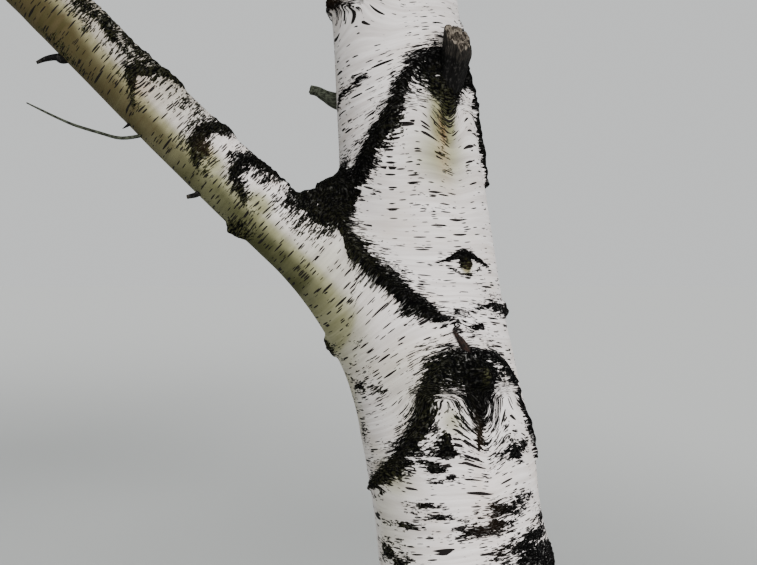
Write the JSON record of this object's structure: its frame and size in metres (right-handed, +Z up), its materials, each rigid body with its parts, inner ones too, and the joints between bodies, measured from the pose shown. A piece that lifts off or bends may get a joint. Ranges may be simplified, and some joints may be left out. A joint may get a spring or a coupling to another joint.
{
  "type": "birch tree",
  "caption": "Whole summer birch: a leaning pale trunk with root flare, a low left bough, broken stubs and an open crown of drooping leaf masses.",
  "frame": {"origin": "middle of the flat cut under the trunk, at ground level", "axes": "+Z up the tree, -Y towards the viewer of the picture, +X to the viewer's right"},
  "size_m": [7.4723, 5.8625, 15.2488],
  "materials": {
    "bark": "pale papery birch bark with short dark lenticels and black rough ridges",
    "dead_wood": "weathered, dark and dull",
    "foliage": "summer green leaves, half matt"
  },
  "bodies": {
    "root": {"bough_10_left": "bark", "bough_11_front_right": "bark", "bough_1_right": "bark", "bough_2_back_left": "bark", "bough_3_front": "bark", "bough_4_back_right": "bark", "bough_5_left": "bark", "bough_6_front_right": "bark", "bough_7_back_left": "bark", "bough_8_front": "bark", "bough_9_back_right": "bark", "bough_low_left": "bark", "leaves_10_left": "foliage", "leaves_11_front_right": "foliage", "leaves_1_right": "foliage", "leaves_2_back_left": "foliage", "leaves_3_front": "foliage", "leaves_4_back_right": "foliage", "leaves_5_left": "foliage", "leaves_6_front_right": "foliage", "leaves_7_back_left": "foliage", "leaves_8_front": "foliage", "leaves_9_back_right": "foliage", "leaves_hanging_a_1_right": "foliage", "leaves_hanging_a_2_back_left": "foliage", "leaves_hanging_a_3_front": "foliage", "leaves_hanging_a_4_back_right": "foliage", "leaves_hanging_a_5_left": "foliage", "leaves_hanging_a_low_left": "foliage", "leaves_hanging_b_1_right": "foliage", "leaves_hanging_b_2_back_left": "foliage", "leaves_hanging_b_3_front": "foliage", "leaves_hanging_b_4_back_right": "foliage", "leaves_hanging_b_5_left": "foliage", "leaves_hanging_b_low_left": "foliage", "leaves_low_left": "foliage", "leaves_top": "foliage", "stub_bough": "dead_wood", "stub_left": "dead_wood", "stub_upper": "dead_wood", "trunk": "bark"}
  },
  "joints": []
}
